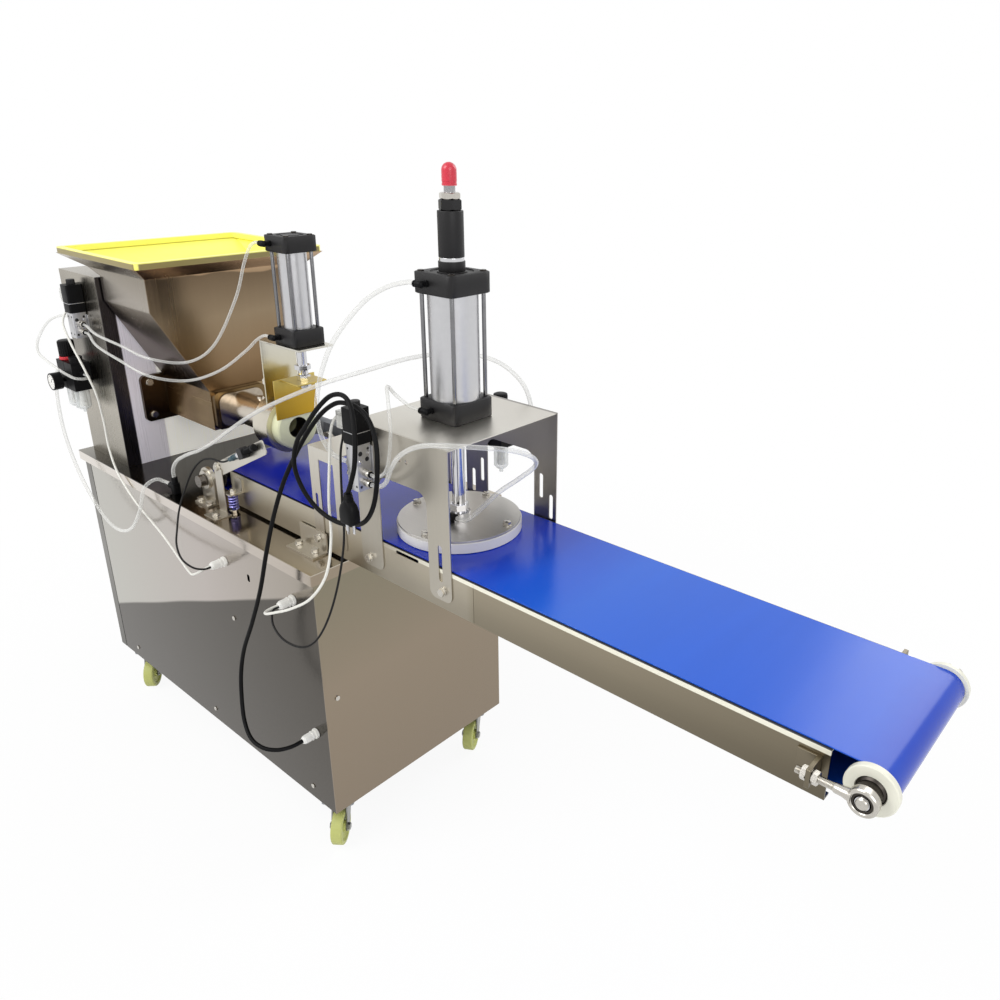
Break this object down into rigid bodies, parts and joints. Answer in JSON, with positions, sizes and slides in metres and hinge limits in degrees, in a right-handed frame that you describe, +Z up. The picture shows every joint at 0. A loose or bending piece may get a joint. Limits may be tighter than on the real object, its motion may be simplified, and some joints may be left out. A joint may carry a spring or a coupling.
{
  "type": "dough divider",
  "caption": "Dough divider on a caster cabinet: hopper and twin augers, pneumatic cutter, belt conveyor and an air press that flattens each piece.",
  "frame": {"origin": "on the floor, under the middle of the whole machine without its cords", "axes": "+X along the belt, the way the dough travels; +Y across it to the far side; +Z up"},
  "size_m": [2.0227, 0.5939, 1.368],
  "materials": {
    "stainless": "brushed",
    "tray_steel": "brushed",
    "column_steel": "mirror bright",
    "bright_steel": "bright",
    "zinc": "zinc plated",
    "box_paint": "powder coat",
    "motor_paint": "paint",
    "spring_paint": "paint",
    "dark_steel": "blackened",
    "aluminium": "satin",
    "gold_steel": "bright",
    "white_plastic": "smooth",
    "cream_plastic": "smooth",
    "yellow_plastic": "smooth",
    "black_plastic": "moulded",
    "wheel_rubber": "smooth",
    "black_rubber": "smooth",
    "blue_belt": "smooth",
    "clear_plastic": "clear",
    "clear_bowl": "clear"
  },
  "bodies": {
    "base": {"cabinet_shell": "stainless", "rear_door": "stainless", "top_tray": "tray_steel", "cabinet_screws": "bright_steel", "cable_glands": "white_plastic", "control_box": "box_paint", "caster_plates": "zinc", "column_shell": "column_steel", "gear_motors": "motor_paint", "feed_housing": "stainless", "outlet_pipe": "tray_steel", "nozzle_insert": "cream_plastic", "hopper_body": "stainless", "hopper_liner": "yellow_plastic", "cutter_bracket": "stainless", "cylinder_caps": "dark_steel", "cylinder_barrels": "aluminium", "conveyor_frame": "stainless", "belt": "blue_belt", "belt_tensioners": "bright_steel", "conveyor_feet": "stainless", "foot_springs": "spring_paint", "hex_bolts": "bright_steel", "gantry": "stainless", "guide_portal": "stainless", "press_sleeve": "dark_steel", "sensor_post": "stainless", "valve_bodies": "aluminium", "valve_coils": "black_plastic", "regulator_bodies": "black_plastic", "filter_bowls": "clear_bowl", "air_tubes": "clear_plastic", "press_hose": "clear_plastic", "signal_cables": "white_plastic", "sensor_cable": "black_rubber", "mains_lead": "black_rubber", "mains_plug": "black_plastic"},
    "press": {"press_rod": "bright_steel", "press_stop": "dark_steel", "press_plate": "stainless", "press_pad": "white_plastic", "press_bolts": "bright_steel"},
    "cutter": {"cutter_rod": "bright_steel", "cutter_blade": "gold_steel"},
    "auger_l": {"auger_left": "bright_steel"},
    "auger_r": {"auger_right": "bright_steel"},
    "drive": {"drive_roller": "zinc"},
    "tail": {"tail_roller": "white_plastic"},
    "sensor": {"sensor_arm": "stainless", "feed_sensor": "black_plastic"},
    "knob_a": {"preparer_knob": "black_plastic"},
    "knob_b": {"regulator_knob": "black_plastic"},
    "swivel_1": {"caster_fork_1": "zinc"},
    "wheel_1": {"caster_wheel_1": "wheel_rubber"},
    "swivel_2": {"caster_fork_2": "zinc"},
    "wheel_2": {"caster_wheel_2": "wheel_rubber"},
    "swivel_3": {"caster_fork_3": "zinc"},
    "wheel_3": {"caster_wheel_3": "wheel_rubber"},
    "swivel_4": {"caster_fork_4": "zinc"},
    "wheel_4": {"caster_wheel_4": "wheel_rubber"}
  },
  "joints": [
    {"name": "swivel_1_turn", "type": "hinge", "parent": "base", "child": "swivel_1", "pos_m": [-0.0775, -0.171, 0.09], "axis": [0, 0, 1], "continuous": true},
    {"name": "wheel_1_roll", "type": "hinge", "parent": "swivel_1", "child": "wheel_1", "pos_m": [-0.06211, -0.1907, 0.0375], "axis": [0.788, 0.6157, 0], "continuous": true},
    {"name": "swivel_2_turn", "type": "hinge", "parent": "base", "child": "swivel_2", "pos_m": [-0.9125, -0.171, 0.09], "axis": [0, 0, 1], "continuous": true},
    {"name": "wheel_2_roll", "type": "hinge", "parent": "swivel_2", "child": "wheel_2", "pos_m": [-0.89452, -0.18837, 0.0375], "axis": [0.6947, 0.7193, 0], "continuous": true},
    {"name": "swivel_3_turn", "type": "hinge", "parent": "base", "child": "swivel_3", "pos_m": [-0.0775, 0.219, 0.09], "axis": [0, 0, 1], "continuous": true},
    {"name": "wheel_3_roll", "type": "hinge", "parent": "swivel_3", "child": "wheel_3", "pos_m": [-0.065, 0.19735, 0.0375], "axis": [0.866, 0.5, 0], "continuous": true},
    {"name": "swivel_4_turn", "type": "hinge", "parent": "base", "child": "swivel_4", "pos_m": [-0.9125, 0.219, 0.09], "axis": [0, 0, 1], "continuous": true},
    {"name": "wheel_4_roll", "type": "hinge", "parent": "swivel_4", "child": "wheel_4", "pos_m": [-0.89577, 0.20042, 0.0375], "axis": [0.7431, 0.6691, 0], "continuous": true},
    {"name": "press_stroke", "type": "slide", "parent": "base", "child": "press", "axis": [0, 0, 1], "range_m": [0, 0.075], "deforming": ["press_hose"]},
    {"name": "cutter_stroke", "type": "slide", "parent": "base", "child": "cutter", "axis": [0, 0, -1], "range_m": [0, 0.06]},
    {"name": "auger_left_turn", "type": "hinge", "parent": "base", "child": "auger_l", "pos_m": [-0.6825, -0.047, 0.821], "axis": [1, 0, 0], "continuous": true},
    {"name": "auger_right_turn", "type": "hinge", "parent": "base", "child": "auger_r", "pos_m": [-0.6825, 0.011, 0.821], "axis": [1, 0, 0], "continuous": true},
    {"name": "drive_roller_turn", "type": "hinge", "parent": "base", "child": "drive", "pos_m": [-0.4595, -0.018, 0.717], "axis": [0, 1, 0], "continuous": true},
    {"name": "tail_roller_turn", "type": "hinge", "parent": "base", "child": "tail", "pos_m": [0.9625, -0.018, 0.717], "axis": [0, 1, 0], "continuous": true},
    {"name": "sensor_tilt", "type": "hinge", "parent": "base", "child": "sensor", "pos_m": [-0.3985, -0.179, 0.761], "axis": [0, 1, 0], "range_deg": [-10, 10], "deforming": ["sensor_cable"]},
    {"name": "preparer_knob_turn", "type": "hinge", "parent": "base", "child": "knob_a", "pos_m": [-0.9375, -0.226, 0.92], "axis": [0, 0, 1], "range_deg": [-720, 720]},
    {"name": "regulator_knob_turn", "type": "hinge", "parent": "base", "child": "knob_b", "pos_m": [0.1085, 0.134, 0.93], "axis": [0, 0, 1], "range_deg": [-720, 720]}
  ],
  "couplings": [
    {"joint": "auger_right_turn", "follows": "auger_left_turn", "ratio": -1},
    {"joint": "tail_roller_turn", "follows": "drive_roller_turn", "ratio": 1}
  ]
}
